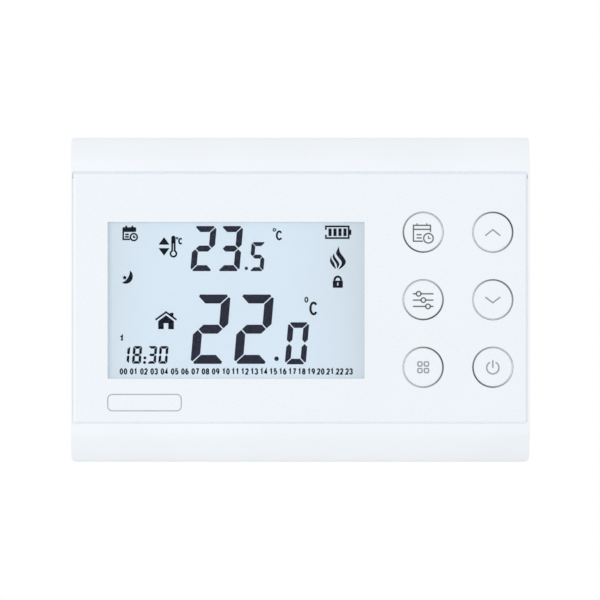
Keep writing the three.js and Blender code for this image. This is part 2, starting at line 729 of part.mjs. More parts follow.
function buttonGroup() {
  const group = new THREE.Group();
  for (const [name, [column, row]] of Object.entries(BUTTONS)) {
    const place = [COLUMNS[column], 0, ROWS[row]];
    group.add(piece(`button_${name}`, buttonCap(), "panel", place));
    group.add(piece(`button_ring_${name}`, buttonRing(), "ring", place));
    group.add(piece(`switch_plunger_${name}`, tactPlunger(), "component", place));
    group.add(piece(`tact_switch_${name}`, tactSwitch(), "steel", place));
  }
  return group;
}

const thermostat = new THREE.Group();
thermostat.add(wallSide(), casingGroup(), displayGroup(), electronicsGroup(), powerGroup(), buttonGroup());

export default thermostat;
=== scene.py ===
"""Looks of the wall thermostat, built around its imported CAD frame. Positions are in millimetres in
the row frame until a mesh is made: +X right, +Z up, and a depth d lies at Y = -d, towards the room.
"""

import json
import math

import bmesh
import bpy
from mathutils import Matrix, Vector

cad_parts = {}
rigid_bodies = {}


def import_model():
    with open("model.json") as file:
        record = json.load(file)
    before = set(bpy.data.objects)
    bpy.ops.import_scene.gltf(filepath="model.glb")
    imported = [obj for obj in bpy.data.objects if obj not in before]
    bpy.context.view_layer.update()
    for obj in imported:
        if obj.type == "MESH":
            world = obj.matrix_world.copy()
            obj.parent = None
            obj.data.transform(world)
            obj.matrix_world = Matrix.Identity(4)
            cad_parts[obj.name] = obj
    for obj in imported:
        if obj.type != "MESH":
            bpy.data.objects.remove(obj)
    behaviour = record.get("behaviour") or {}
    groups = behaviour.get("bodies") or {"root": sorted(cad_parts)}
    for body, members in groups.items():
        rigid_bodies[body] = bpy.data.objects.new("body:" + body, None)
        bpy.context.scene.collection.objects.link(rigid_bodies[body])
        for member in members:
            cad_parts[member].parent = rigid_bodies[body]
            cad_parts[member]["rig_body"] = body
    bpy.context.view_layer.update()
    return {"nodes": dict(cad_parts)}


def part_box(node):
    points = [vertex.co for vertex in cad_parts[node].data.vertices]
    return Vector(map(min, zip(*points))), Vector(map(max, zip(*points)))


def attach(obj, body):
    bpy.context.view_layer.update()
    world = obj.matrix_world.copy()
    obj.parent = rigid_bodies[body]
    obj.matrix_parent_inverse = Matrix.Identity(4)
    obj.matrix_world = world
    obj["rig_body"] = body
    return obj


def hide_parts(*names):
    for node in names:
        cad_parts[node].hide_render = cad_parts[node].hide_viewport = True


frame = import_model()
NODES = frame["nodes"]
MM = 0.001
UNIT = "control_unit"
FULL_TURN = 2 * math.pi


def centre_of(node):
    """The middle of a CAD node's box in millimetres, as (x, z)."""
    low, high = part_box(node)
    return (low.x + high.x) / 2 / MM, (low.z + high.z) / 2 / MM


# ---------------------------------------------------------------------------------------------
# Materials
# ---------------------------------------------------------------------------------------------


class Shader:
    """A node material under construction, with a Principled shader and object coordinates."""

    def __init__(self, name, color, roughness, metallic=0.0):
        self.material = bpy.data.materials.new(name)
        self.material.use_nodes = True
        self.tree = self.material.node_tree
        self.principled = self.tree.nodes["Principled BSDF"]
        self.coordinates = self.tree.nodes.new("ShaderNodeTexCoord").outputs["Object"]
        self.set("Base Color", (*color, 1))
        self.set("Roughness", roughness)
        self.set("Metallic", metallic)

    def set(self, socket, value):
        self.principled.inputs[socket].default_value = value

    def link(self, source, target):
        self.tree.links.new(source, target)

    def node(self, kind, inputs=None, **settings):
        """Adds a node; inputs maps a socket's name or index to a value or to an output to link."""
        node = self.tree.nodes.new("ShaderNode" + kind)
        for name, value in settings.items():
            setattr(node, name, value)
        for socket, value in (inputs or {}).items():
            if isinstance(value, bpy.types.NodeSocket):
                self.link(value, node.inputs[socket])
            else:
                node.inputs[socket].default_value = value
        return node

    def math(self, operation, a, b=0.0):
        return self.node("Math", {0: a, 1: b}, operation=operation).outputs[0]

    def stretched(self, scale):
        """Object coordinates scaled by (x, y, z), for grain that runs one way."""
        mapping = self.node("Mapping", {"Vector": self.coordinates, "Scale": scale})
        return mapping.outputs["Vector"]

    def noise(self, scale, detail, vector=None):
        inputs = {"Vector": vector or self.coordinates, "Scale": scale, "Detail": detail}
        return self.node("TexNoise", inputs).outputs["Fac"]

    def ranged(self, value, low, high, from_low=0.3, from_high=0.7):
        inputs = {0: value, 1: from_low, 2: from_high, 3: low, 4: high}
        return self.node("MapRange", inputs).outputs[0]

    def mix(self, factor, first, second):
        """Mixes two colours, each an RGB triple or an output."""
        node = self.node("Mix", data_type="RGBA")
        sockets = {0: factor, 6: first, 7: second}
        for index, value in sockets.items():
            if isinstance(value, bpy.types.NodeSocket):
                self.link(value, node.inputs[index])
            else:
                node.inputs[index].default_value = (*value, 1) if index else value
        return node.outputs[2]

    def colour(self, output):
        self.link(output, self.principled.inputs["Base Color"])

    def roughness(self, value, low, high):
        self.link(self.ranged(value, low, high), self.principled.inputs["Roughness"])

    def bump(self, height, distance, strength):
        inputs = {"Height": height, "Distance": distance, "Strength": strength}
        normal = self.node("Bump", inputs).outputs["Normal"]
        self.link(normal, self.principled.inputs["Normal"])


def shade(color, factor):
    return tuple(min(1.0, channel * factor) for channel in color)


def moulded(name, color, roughness, grain=2600, relief=0.000012, variation=0.015):
    """Moulded plastic: a fine spark-eroded grain, faint flow marks and uneven gloss."""
    shader = Shader(name, color, roughness)
    flow = shader.noise(35, 2)
    light = shade(color, 1 + variation)
    dark = shade(color, 1 - variation)
    shader.colour(shader.mix(shader.ranged(flow, 0, 1), dark, light))
    texture = shader.noise(grain, 2)
    shader.roughness(texture, roughness - 0.05, roughness + 0.05)
    shader.bump(texture, relief, 0.5)
    return shader.material


def brushed(name, color, roughness):
    """Bare or plated metal with drawing marks along one direction and slight stains."""
    shader = Shader(name, color, roughness, 1.0)
    marks = shader.noise(900, 3, shader.stretched((1, 1, 14)))
    stains = shader.noise(160, 3)
    tone = shader.mix(shader.ranged(stains, 0, 1), shade(color, 0.86), color)
    shader.colour(tone)
    shader.roughness(marks, roughness - 0.08, roughness + 0.12)
    shader.bump(marks, 0.000008, 0.4)
    return shader.material


def printed(name, color, roughness=0.5):
    """Ink or liquid crystal seen as a dark shape, with a slightly uneven density."""
    shader = Shader(name, color, roughness)
    shader.set("Specular IOR Level", 0.0)
    density = shader.noise(700, 2)
    shader.colour(shader.mix(shader.ranged(density, 0, 1), shade(color, 0.92), shade(color, 1.08)))
    return shader.material


CASING = moulded("casing", (0.87, 0.905, 0.945), 0.42)
PANEL = moulded("panel", (0.845, 0.885, 0.93), 0.3, 1800, relief=0.0000015, variation=0.006)
PLATE = moulded("plate", (0.8, 0.82, 0.84), 0.55, relief=0.00002)
HOLDER = moulded("holder", (0.78, 0.79, 0.8), 0.5)
GUIDE = moulded("guide", (0.84, 0.9, 0.93), 0.22)
BLACK_PLASTIC = moulded("component", (0.02, 0.02, 0.022), 0.45, variation=0.2)
RELAY = moulded("relay", (0.03, 0.13, 0.36), 0.35, variation=0.05)
TERMINAL = moulded("terminal", (0.06, 0.26, 0.1), 0.5, variation=0.06)
RUBBER = moulded("rubber", (0.5, 0.25, 0.23), 0.7, variation=0.08)
EPOXY = moulded("sensor", (0.03, 0.022, 0.018), 0.35, variation=0.2)
STEEL = brushed("steel", (0.62, 0.62, 0.63), 0.3)
BRASS = brushed("brass", (0.75, 0.56, 0.25), 0.28)
SEGMENT_INK = printed("segment_ink", (0.026, 0.028, 0.045), 0.35)
SYMBOL_INK = printed("symbol_ink", (0.009, 0.01, 0.018), 0.35)
DARK_GREY_INK = printed("dark_grey_ink", (0.17, 0.175, 0.185))
GREY_INK = printed("grey_ink", (0.33, 0.335, 0.35))
PALE_INK = printed("pale_ink", (0.37, 0.385, 0.41))

DISPLAY = {"x": -16.75, "z": -0.15, "width": 67.1, "height": 40.9}
# The display face's colours: its ends are greyed by painted shade, and it glows by a painted
# backlight.
LIT = (0.48, 0.555, 0.62)  # the display's face in its middle
UNLIT = (0.38, 0.405, 0.425)  # and at its ends
BRIGHTEST_X = DISPLAY["x"] - 2.5


def window_material():
    """Clear polished acrylic: what is behind it shows undimmed under a faint reflection."""
    shader = Shader("window", (0.93, 0.96, 0.99), 0.05)
    smears = shader.ranged(shader.noise(60, 2), 0.03, 0.09)
    gloss = shader.node("BsdfGlossy", {"Roughness": smears}, distribution="GGX")
    clear = shader.node("BsdfTransparent", {"Color": (0.985, 0.992, 1.0, 1)})
    facing = shader.node("LayerWeight", {"Blend": 0.5}).outputs["Facing"]
    grazing = shader.math("MULTIPLY", shader.math("POWER", facing, 5.0), 0.9)
    share = shader.math("ADD", grazing, 0.006)
    mixed = shader.node("MixShader", {0: share, 1: clear.outputs[0], 2: gloss.outputs[0]})
    output = shader.tree.nodes["Material Output"]
    shader.link(mixed.outputs[0], output.inputs["Surface"])
    return shader.material


def glass_material():
    """The face of the display, with a painted glow of backlight: pale blue, and greyer towards its
    ends, above all the right one, by painted shade.
    """
    shader = Shader("display_face", LIT, 0.3)
    # Painted glow: the face emits light as if backlit.
    shader.set("Emission Color", (0.75, 0.865, 0.93, 1))
    shader.set("Emission Strength", 0.32)
    axes = shader.node("SeparateXYZ", {0: shader.coordinates})
    across = shader.math("SUBTRACT", axes.outputs["X"], BRIGHTEST_X * MM)
    share = shader.math("ABSOLUTE", shader.math("DIVIDE", across, DISPLAY["width"] / 2 * MM))
    # Painted shade: the colour greys towards the ends, most at the right.
    edge = shader.math("MULTIPLY", shader.math("POWER", share, 4.0), 0.6)
    cloud = shader.ranged(shader.noise(40, 2), 0, 0.15)
    total = shader.math("ADD", edge, cloud)
    shader.colour(shader.mix(total, LIT, UNLIT))
    return shader.material


def ring_material(name, x, z, darkest, contrast):
    """Plated ring about the axis at (x, z), with a painted reflection that is darkest in one
    direction, in degrees.
    """
    shader = Shader(name, (0.4, 0.41, 0.42), 0.3, 1.0)
    axes = shader.node("SeparateXYZ", {0: shader.coordinates})
    right = shader.math("SUBTRACT", axes.outputs["X"], x * MM)
    up = shader.math("SUBTRACT", axes.outputs["Z"], z * MM)
    # Painted reflection: the ring's colour darkens towards one direction about its axis.
    angle = shader.math("ARCTAN2", up, right)
    swing = shader.math("COSINE", shader.math("SUBTRACT", angle, math.radians(darkest)))
    tone = shader.ranged(swing, 0.0, contrast, -0.6, 1.0)
    shader.colour(shader.mix(tone, (0.64, 0.65, 0.67), (0.08, 0.084, 0.09)))
    marks = shader.noise(3000, 2)
    shader.roughness(marks, 0.24, 0.36)
    return shader.material


def board_material():
    """Green solder mask over copper tracks, which lie slightly proud."""
    shader = Shader("board", (0.02, 0.2, 0.07), 0.35)
    stepped = shader.node(
        "TexBrick",
        {
            "Vector": shader.coordinates,
            "Scale": 190.0,
            "Mortar Size": 0.02,
            "Color1": (0, 0, 0, 1),
            "Color2": (0, 0, 0, 1),
            "Mortar": (1, 1, 1, 1),
        },
    )
    tracks = shader.node("SeparateColor", {0: stepped.outputs["Color"]}).outputs[0]
    shader.colour(shader.mix(tracks, (0.012, 0.13, 0.045), (0.03, 0.24, 0.09)))
    shader.bump(tracks, 0.00003, 0.6)
    shader.roughness(shader.noise(400, 2), 0.28, 0.42)
    return shader.material


# Distances from the nub of a cell: where its front cap, its coloured band and its sleeve end.
CELL_CAP = 1.2
CELL_BAND = 13
CELL_SLEEVE = 43.9


def cell_material(name, nub_x, towards):
    """A cell's printed sleeve with a bright band at the nub end, and bare steel at both ends."""
    shader = Shader(name, (0.03, 0.032, 0.036), 0.3)
    axes = shader.node("SeparateXYZ", {0: shader.coordinates})
    along = shader.math("SUBTRACT", nub_x * MM, axes.outputs["X"])
    depth = shader.math("MULTIPLY", along, towards)
    band = shader.math("LESS_THAN", depth, CELL_BAND * MM)
    sleeve = shader.mix(band, (0.025, 0.027, 0.032), (0.55, 0.25, 0.06))
    bare_front = shader.math("LESS_THAN", depth, CELL_CAP * MM)
    bare_back = shader.math("GREATER_THAN", depth, CELL_SLEEVE * MM)
    bare = shader.math("MAXIMUM", bare_front, bare_back)
    shader.colour(shader.mix(bare, sleeve, (0.6, 0.6, 0.6)))
    shader.link(bare, shader.principled.inputs["Metallic"])
    shader.roughness(shader.noise(500, 2), 0.22, 0.34)
    return shader.material


WINDOW = window_material()
GLASS = glass_material()
BOARD = board_material()

# ---------------------------------------------------------------------------------------------
# Mesh building
# ---------------------------------------------------------------------------------------------

CREASE = math.radians(34)
SHARPEST_ROUND = math.radians(40)  # edges sharper than this are rounded
FLAT = math.radians(0.5)  # faces that meet at less than this are joined
SAME_PLACE = 0.002
FRONT_ZONE = 0.3  # edges this close to a piece's front count as its front edges
SMALLEST_CORNER = 0.02
ROUNDING_STEPS = 4
FINE_SIDES = 96  # sides of the largest round shapes
EDGE_WEIGHT = "bevel_weight_edge"


def finished(name, bm, material, body, bevel=0.0, bevel_steps=2):
    """Makes an object of a mesh built in millimetres and puts it on a body. Its flat faces are
    shaded flat and its rounded edges smoothly. Edges are rounded by bevel times their weight.
    """
    bmesh.ops.recalc_face_normals(bm, faces=bm.faces)
    mesh = bpy.data.meshes.new(name)
    bm.to_mesh(mesh)
    bm.free()
    mesh.transform(Matrix.Scale(MM, 4))
    mesh.polygons.foreach_set("use_smooth", [True] * len(mesh.polygons))
    mesh.set_sharp_from_angle(angle=CREASE)
    mesh.materials.append(material)
    piece = bpy.data.objects.new(name, mesh)
    bpy.context.scene.collection.objects.link(piece)
    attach(piece, body)
    if bevel:
        edges = piece.modifiers.new("edges", "BEVEL")
        edges.width = bevel * MM
        edges.segments = bevel_steps
        edges.limit_method = "WEIGHT"
        edges.use_clamp_overlap = False
    normals = piece.modifiers.new("normals", "WEIGHTED_NORMAL")
    normals.weight = 90
    normals.keep_sharp = True
    return piece


def ring_of(bm, points):
    return [bm.verts.new(point) for point in points]


def stitch(bm, first, second):
    """Quads between two rings of as many vertices."""
    count = len(first)
    for i in range(count):
        j = (i + 1) % count
        bm.faces.new((first[i], first[j], second[j], second[i]))


def cap(bm, rings):
    """Fills the flat area between closed rings."""
    edges = []
    for ring in rings:
        for i, vertex in enumerate(ring):
            other = ring[(i + 1) % len(ring)]
            edges.append(bm.edges.get((vertex, other)) or bm.edges.new((vertex, other)))
    bmesh.ops.triangle_fill(bm, edges=edges, use_beauty=True)


def rectangle(x, z, width, height, radius, steps=6):
    """A loop maker: the rounded rectangle drawn in by an inset, as a list of (x, z)."""

    def at(inset):
        half_width = width / 2 - inset
        half_height = height / 2 - inset
        corner = max(radius - inset, SMALLEST_CORNER)
        points = []
        for quarter in range(4):
            sign_x = (1, -1, -1, 1)[quarter]
            sign_z = (1, 1, -1, -1)[quarter]
            for step in range(steps + 1):
                angle = (quarter + step / steps) * FULL_TURN / 4
                points.append(
                    (
                        x + sign_x * (half_width - corner) + corner * math.cos(angle),
                        z + sign_z * (half_height - corner) + corner * math.sin(angle),
                    )
                )
        return points

    return at


def circle(x, z, radius, sides):
    """A loop maker: the circle drawn in by an inset."""

    def at(inset):
        size = radius - inset
        angles = [FULL_TURN * i / sides for i in range(sides)]
        return [(x + size * math.cos(a), z + size * math.sin(a)) for a in angles]

    return at


def plate(bm, outline, back, front, rounding=0.0, holes=()):
    """A flat body between two depths. Each hole is (loop maker, rounding of its front edge)."""
    front_rings = []
    back_rings = []
    for maker, radius, sign in [(outline, rounding, 1)] + [(m, r, -1) for m, r in holes]:
        levels = [(0, back)]
        if radius:
            for step in range(ROUNDING_STEPS + 1):
                angle = step / ROUNDING_STEPS * math.pi / 2
                inset = radius * (1 - math.cos(angle))
                levels.append((sign * inset, front - radius * (1 - math.sin(angle))))
        else:
            levels.append((0, front))
        rings = []
        for inset, depth in levels:
            rings.append(ring_of(bm, [(px, -depth, pz) for px, pz in maker(inset)]))
        for first, second in zip(rings, rings[1:]):
            stitch(bm, first, second)
        back_rings.append(rings[0])
        front_rings.append(rings[-1])
    cap(bm, front_rings)
    cap(bm, back_rings)


def lathe(bm, x, z, profile):
    """Turns a profile of (radius, depth) about the depth axis at (x, z)."""
    rings = []
    for radius, depth in profile:
        if rings and (radius, depth) == profile[0]:
            rings.append(rings[0])
            continue
        if radius == 0:
            rings.append([bm.verts.new((x, -depth, z))])
            continue
        angles = [FULL_TURN * i / FINE_SIDES for i in range(FINE_SIDES)]
        points = [(x + radius * math.cos(a), -depth, z + radius * math.sin(a)) for a in angles]
        rings.append(ring_of(bm, points))
    for first, second in zip(rings, rings[1:]):
        if len(first) == 1 or len(second) == 1:
            tip, ring = (first[0], second) if len(first) == 1 else (second[0], first)
            for i, vertex in enumerate(ring):
                bm.faces.new((tip, vertex, ring[(i + 1) % FINE_SIDES]))
        else:
            stitch(bm, first, second)


def refined(node, material, width, segments=2, front_width=None):
    """Stands for a CAD node: its own shape, cleaned, with its edges rounded by width, and those
    of its front by front_width if that is given.
    """
    source = NODES[node]
    body = source["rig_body"]
    widest = front_width or width
    share = width / widest if widest else 0
    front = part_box(node)[0].y / MM
    bm = bmesh.new()
    bm.from_mesh(source.data)
    bmesh.ops.scale(bm, vec=Vector((1, 1, 1)) / MM, verts=bm.verts)
    bmesh.ops.remove_doubles(bm, verts=bm.verts, dist=SAME_PLACE)
    bmesh.ops.dissolve_limit(
        bm, angle_limit=FLAT, verts=bm.verts, edges=bm.edges, delimit={"NORMAL"}
    )
    weight = bm.edges.layers.float.new(EDGE_WEIGHT)
    for edge in bm.edges:
        if edge.calc_face_angle(0) > SHARPEST_ROUND:
            in_front = all(abs(vertex.co.y - front) < FRONT_ZONE for vertex in edge.verts)
            edge[weight] = 1 if in_front else share
    piece = finished(node + "_form", bm, material, body, widest, segments)
    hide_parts(node)


# ---------------------------------------------------------------------------------------------
# Flat artwork
# ---------------------------------------------------------------------------------------------


def arc(x, z, radius, start, end, steps=16):
    """Points on a circle, or on an oval if radius is (across, up). Angles are in degrees,
    anticlockwise from +X.
    """
    across, up = radius if isinstance(radius, tuple) else (radius, radius)
    angles = [math.radians(start + (end - start) * i / steps) for i in range(steps + 1)]
    return [(x + across * math.cos(a), z + up * math.sin(a)) for a in angles]


def fixed(points):
    """A loop maker for a loop that is never inset."""
    return lambda inset: points


def shape(bm, points, back, front):
    """A thin flat shape with the given outline."""
    plate(bm, fixed(points), back, front)


def offset_side(points, distance):
    """The points moved sideways, with mitred corners."""
    moved = []
    for i, (x, z) in enumerate(points):
        before = points[i - 1] if i else None
        after = points[i + 1] if i + 1 < len(points) else None
        directions = []
        if before:
            directions.append(Vector((x - before[0], z - before[1])).normalized())
        if after:
            directions.append(Vector((after[0] - x, after[1] - z)).normalized())
        tangent = sum(directions, Vector((0, 0))).normalized()
        stretch = 1 / max(tangent.dot(directions[0]), 0.4)
        moved.append((x - tangent.y * distance * stretch, z + tangent.x * distance * stretch))
    return moved


def line(bm, points, width, back, front, round_ends=True):
    """An open line of the given width."""
    half = width / 2
    left = offset_side(points, half)
    right = offset_side(points, -half)
    ends = []
    for tip, inner in ((points[-1], points[-2]), (points[0], points[1])):
        heading = math.degrees(math.atan2(tip[1] - inner[1], tip[0] - inner[0]))
        ends.append(arc(*tip, half, heading - 90, heading + 90, 6)[1:-1] if round_ends else [])
    shape(bm, right + ends[0] + left[::-1] + ends[1], back, front)


def hoop(bm, maker, width, back, front):
    """A closed line of the given width, centred on a loop."""
    plate(bm, fixed(maker(-width / 2)), back, front, holes=[(fixed(maker(width / 2)), 0)])


def oval(points):
    """A loop maker for an oval, drawn in evenly towards its middle."""
    across = [x for x, z in points]
    up = [z for x, z in points]
    middle_x, middle_z = (min(across) + max(across)) / 2, (min(up) + max(up)) / 2
    half_width, half_height = (max(across) - min(across)) / 2, (max(up) - min(up)) / 2

    def at(inset):
        scale_x = 1 - inset / half_width
        scale_z = 1 - inset / half_height
        return [
            (middle_x + (x - middle_x) * scale_x, middle_z + (z - middle_z) * scale_z)
            for x, z in points
        ]

    return at


def moved_sideways(points):
    """A loop maker for any closed loop, drawn in by moving its points sideways."""

    def at(inset):
        padded = [points[-1]] + points + [points[0]]
        return offset_side(padded, inset)[1:-1]

    return at


SEGMENTS_OF = {
    "0": "abcdef",
    "1": "bc",
    "2": "abged",
    "3": "abgcd",
    "5": "afgcd",
    "8": "abcdefg",
}


def segment_outlines(width, height, thick, gap):
    """The seven segments of a digit, upright, with the origin at its lower left."""
    w, h, t, g = width, height, thick, gap
    mid = h / 2
    half = t / 2
    return {
        "a": [(g, h), (w - g, h), (w - t - g, h - t), (t + g, h - t)],
        "b": [
            (w, h - g), (w, mid + half + g), (w - half, mid + g),
            (w - t, mid + half + g), (w - t, h - t - g),
        ],
        "c": [
            (w, g), (w - t, t + g), (w - t, mid - half - g),
            (w - half, mid - g), (w, mid - half - g),
        ],
        "d": [(g, 0), (t + g, t), (w - t - g, t), (w - g, 0)],
        "e": [
            (0, g), (0, mid - half - g), (half, mid - g),
            (t, mid - half - g), (t, t + g),
        ],
        "f": [
            (0, h - g), (t, h - t - g), (t, mid + half + g),
            (half, mid + g), (0, mid + half + g),
        ],
        "g": [
            (half + g, mid), (t + g, mid + half), (w - t - g, mid + half),
            (w - half - g, mid), (w - t - g, mid - half), (t + g, mid - half),
        ],
    }


SLANT = 0.085
TIP = 0.32  # how far a segment's sharp tips are cut back along their sides, in thicknesses
SHARP = 0.2  # corners with a higher cosine than this are sharp


def clipped(points, reach):
    """The outline with its sharp corners cut off at the given distance along both sides."""
    result = []
    for index, point in enumerate(points):
        corner = Vector(point)
        before = (Vector(points[index - 1]) - corner).normalized()
        after = (Vector(points[(index + 1) % len(points)]) - corner).normalized()
        if before.dot(after) > SHARP:
            result += [tuple(corner + before * reach), tuple(corner + after * reach)]
        else:
            result.append(point)
    return result


def digit(bm, character, x, z, size, back, front):
    """A slanted seven-segment digit; size is its width, height, thickness and gap."""
    outlines = segment_outlines(*size)
    reach = TIP * size[2]
    for name in SEGMENTS_OF[character]:
        points = [(x + u + SLANT * v, z + v) for u, v in outlines[name]]
        shape(bm, clipped(points, reach), back, front)


# Printed characters as strokes in a box 1 wide and 1 high. A stroke that ends where it began is
# an oval.
STROKES = {
    "0": [arc(0.5, 0.5, 0.5, 90, 450, 24)],
    "1": [[(0.05, 0.74), (0.55, 0.98), (0.55, 0)]],
    "2": [arc(0.5, 0.72, (0.48, 0.28), 170, -40) + [(0.03, 0), (1, 0)]],
    "3": [arc(0.42, 0.75, (0.48, 0.25), 160, -90), arc(0.42, 0.26, (0.56, 0.26), 90, -160)],
    "4": [[(0.7, 0), (0.7, 1), (-0.02, 0.3), (1.05, 0.3)]],
    "5": [[(0.95, 1), (0.15, 1), (0.08, 0.54)] + arc(0.46, 0.32, (0.54, 0.32), 122, -138)],
    "6": [arc(0.5, 0.31, (0.5, 0.31), 0, 360, 20), arc(0.66, 0.3, (0.66, 0.7), 180, 82, 10)],
    "7": [[(0, 1), (1, 1), (0.4, 0)]],
    "8": [arc(0.5, 0.76, (0.42, 0.24), 0, 360, 20), arc(0.5, 0.27, (0.5, 0.27), 0, 360, 20)],
    "9": [arc(0.5, 0.69, (0.5, 0.31), 0, 360, 20), arc(0.34, 0.7, (0.66, 0.7), 0, -84, 10)],
    "C": [arc(0.52, 0.5, (0.52, 0.5), 38, 322, 22)],
}


def lettering(bm, text, x, z, width, height, stroke, back, front):
    """Upright characters of the given size over all, centred on x with their base at z."""
    pitch = width * 1.13
    across = width - stroke
    up = height - stroke
    for index, character in enumerate(text):
        left = x + (index - (len(text) - 1) / 2) * pitch - across / 2
        for points in STROKES[character]:
            placed = [(left + u * across, z + stroke / 2 + v * up) for u, v in points]
            if math.dist(placed[0], placed[-1]) < stroke / 10:
                hoop(bm, oval(placed[:-1]), stroke, back, front)
            else:
                line(bm, placed, stroke, back, front, round_ends=False)


# ---------------------------------------------------------------------------------------------
# Casing
# ---------------------------------------------------------------------------------------------

refined("front_case", CASING, width=0.1, segments=3, front_width=0.2)
refined("rear_cover", CASING, width=0.04)
refined("wall_plate", PLATE, width=0.25, segments=3)

PANEL_BACK = 23
PANEL_FRONT = 25
BUTTON_NAMES = ("program", "settings", "menu", "up", "down", "power")
BUTTON_PLACES = {name: centre_of("button_ring_" + name) for name in BUTTON_NAMES}
RING_RADIUS = 5.33
RING_WIDTH = 0.3
RING_GAP = 0.05
DISPLAY_CORNER = 0.12
DISPLAY_GAP = 0.05
PANEL_EDGE = 0.6
# The casing's recess round the panel, which the panel's foot closes below the visible gap. The
# gap above the panel is the widest and deepest.
RECESS = {"half_width": 59.5, "bottom": -32.35, "top": 33.45, "corner": 0.4}
FIT = 0.005
FOOT_FRONT = PANEL_FRONT - 0.42
FOOT_REACH = (1.0, 1.1)  # how far the foot reaches in under the panel, sideways and upwards
FOOT_CORNER = 0.9
UPPER_FOOT = {"height": 1.5, "front": PANEL_FRONT - 0.6}


def front_panel():
    """The panel with its openings, on a foot in two parts that closes the recess round it."""
    low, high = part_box("front_panel")
    width = (high.x - low.x) / MM
    height = (high.z - low.z) / MM
    x = (low.x + high.x) / 2 / MM
    z = (low.z + high.z) / 2 / MM
    opening = rectangle(**DISPLAY, radius=DISPLAY_CORNER)
    holes = [(opening, DISPLAY_CORNER)]
    for place in BUTTON_PLACES.values():
        holes.append((circle(*place, RING_RADIUS + RING_GAP, FINE_SIDES), RING_GAP))
    bm = bmesh.new()
    outline = rectangle(x, z, width, height, PANEL_EDGE)
    plate(bm, outline, PANEL_BACK, PANEL_FRONT, PANEL_EDGE, holes)
    foot_width = 2 * (RECESS["half_width"] - FIT)
    foot_low = RECESS["bottom"] + FIT
    foot_high = RECESS["top"] - UPPER_FOOT["height"]
    foot_height = foot_high - foot_low
    foot_z = (foot_low + foot_high) / 2
    corner = RECESS["corner"] - FIT
    foot = rectangle(x, foot_z, foot_width, foot_height, corner)
    clear_width = width - 2 * FOOT_REACH[0]
    clear_height = foot_height - 2 * FOOT_REACH[1]
    within = rectangle(x, foot_z, clear_width, clear_height, FOOT_CORNER)
    plate(bm, foot, PANEL_BACK, FOOT_FRONT, holes=[(within, 0)])
    upper_height = UPPER_FOOT["height"] - 2 * FIT
    upper_z = RECESS["top"] - UPPER_FOOT["height"] / 2
    upper = rectangle(x, upper_z, foot_width, upper_height, corner)
    plate(bm, upper, PANEL_BACK, UPPER_FOOT["front"])
    piece = finished("front_panel_form", bm, PANEL, UNIT)
    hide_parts("front_panel")


front_panel()

# ---------------------------------------------------------------------------------------------
# Display
# ---------------------------------------------------------------------------------------------

LOWER_GLASS = (21.1, 22.8)
FACE = 23.9
WINDOW_DEPTHS = (FACE + 0.1, PANEL_FRONT - 0.15)
PANE_CORNER = 0.1
FILM = 0.03  # thickness of anything printed
INK = (FACE, FACE + FILM)


def in_opening():
    """A loop maker for a pane that fills the panel's display opening."""
    width = DISPLAY["width"] - 2 * DISPLAY_GAP
    height = DISPLAY["height"] - 2 * DISPLAY_GAP
    return rectangle(DISPLAY["x"], DISPLAY["z"], width, height, PANE_CORNER)


def display_window():
    bm = bmesh.new()
    plate(bm, in_opening(), *WINDOW_DEPTHS, PANE_CORNER)
    piece = finished("display_window_form", bm, WINDOW, UNIT)
    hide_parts("display_window")


def display_glass():
    """Two glasses: a wide one in the holder, and on it one that fills the panel's opening."""
    low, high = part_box("lcd_glass")
    width = (high.x - low.x) / MM
    height = (high.z - low.z) / MM
    bm = bmesh.new()
    wide = rectangle(DISPLAY["x"], DISPLAY["z"], width, height, 2 * PANE_CORNER)
    plate(bm, wide, *LOWER_GLASS, PANE_CORNER)
    plate(bm, in_opening(), LOWER_GLASS[1], FACE)
    piece = finished("lcd_glass_form", bm, GLASS, UNIT)
    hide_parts("lcd_glass")


# Each numeral: the digit, where its lower left corner is, and its size as width, height, thickness
# and gap.
NUMERALS = (
    ("2", -28.72, -16.78, (9.0, 18.15, 2.35, 0.2)),
    ("2", -17.37, -16.78, (9.0, 18.15, 2.35, 0.2)),
    ("0", -4.05, -16.9, (5.5, 11.0, 1.46, 0.18)),
    ("2", -28.75, 7.48, (5.9, 11.8, 1.57, 0.17)),
    ("3", -21.75, 7.48, (5.85, 11.8, 1.57, 0.17)),
    ("5", -13.33, 7.48, (3.7, 7.6, 1.04, 0.1)),
)
# The clock's digits, with the left side of each.
CLOCK = (("1", -47.17), ("8", -44.05), ("3", -40.12), ("0", -37.15))
CLOCK_Z = -16.73
CLOCK_SIZE = (2.35, 4.6, 0.68, 0.07)
DECIMAL_POINTS = ((-6.2, -15.43, 0.6), (-14.1, 8.2, 0.44))  # x, z and radius
COLON = ((-40.73, -16.4, 0.39), (-40.63, -15.2, 0.39))  # x, z and radius


def numerals():
    bm = bmesh.new()
    for character, x, z, size in NUMERALS:
        digit(bm, character, x, z, size, *INK)
    for x, z, radius in DECIMAL_POINTS:
        plate(bm, circle(x, z, radius, 20), *INK)
    finished("lcd_numerals", bm, SEGMENT_INK, UNIT)


def clock(bm):
    for character, x in CLOCK:
        digit(bm, character, x, CLOCK_Z, CLOCK_SIZE, *INK)
    for x, z, radius in COLON:
        plate(bm, circle(x, z, radius, 16), *INK)


# The hours stand a little closer together from ten o'clock on.
HOURS = 24
FIRST_HOUR_X = -46.24
TEN = 10
PITCH_TO_TEN = 2.682
PITCH_FROM_TEN = 2.478
HOUR_BASE = -19.6
SMALL_TYPE = (0.94, 1.68, 0.36)  # a character's width and height, and its stroke


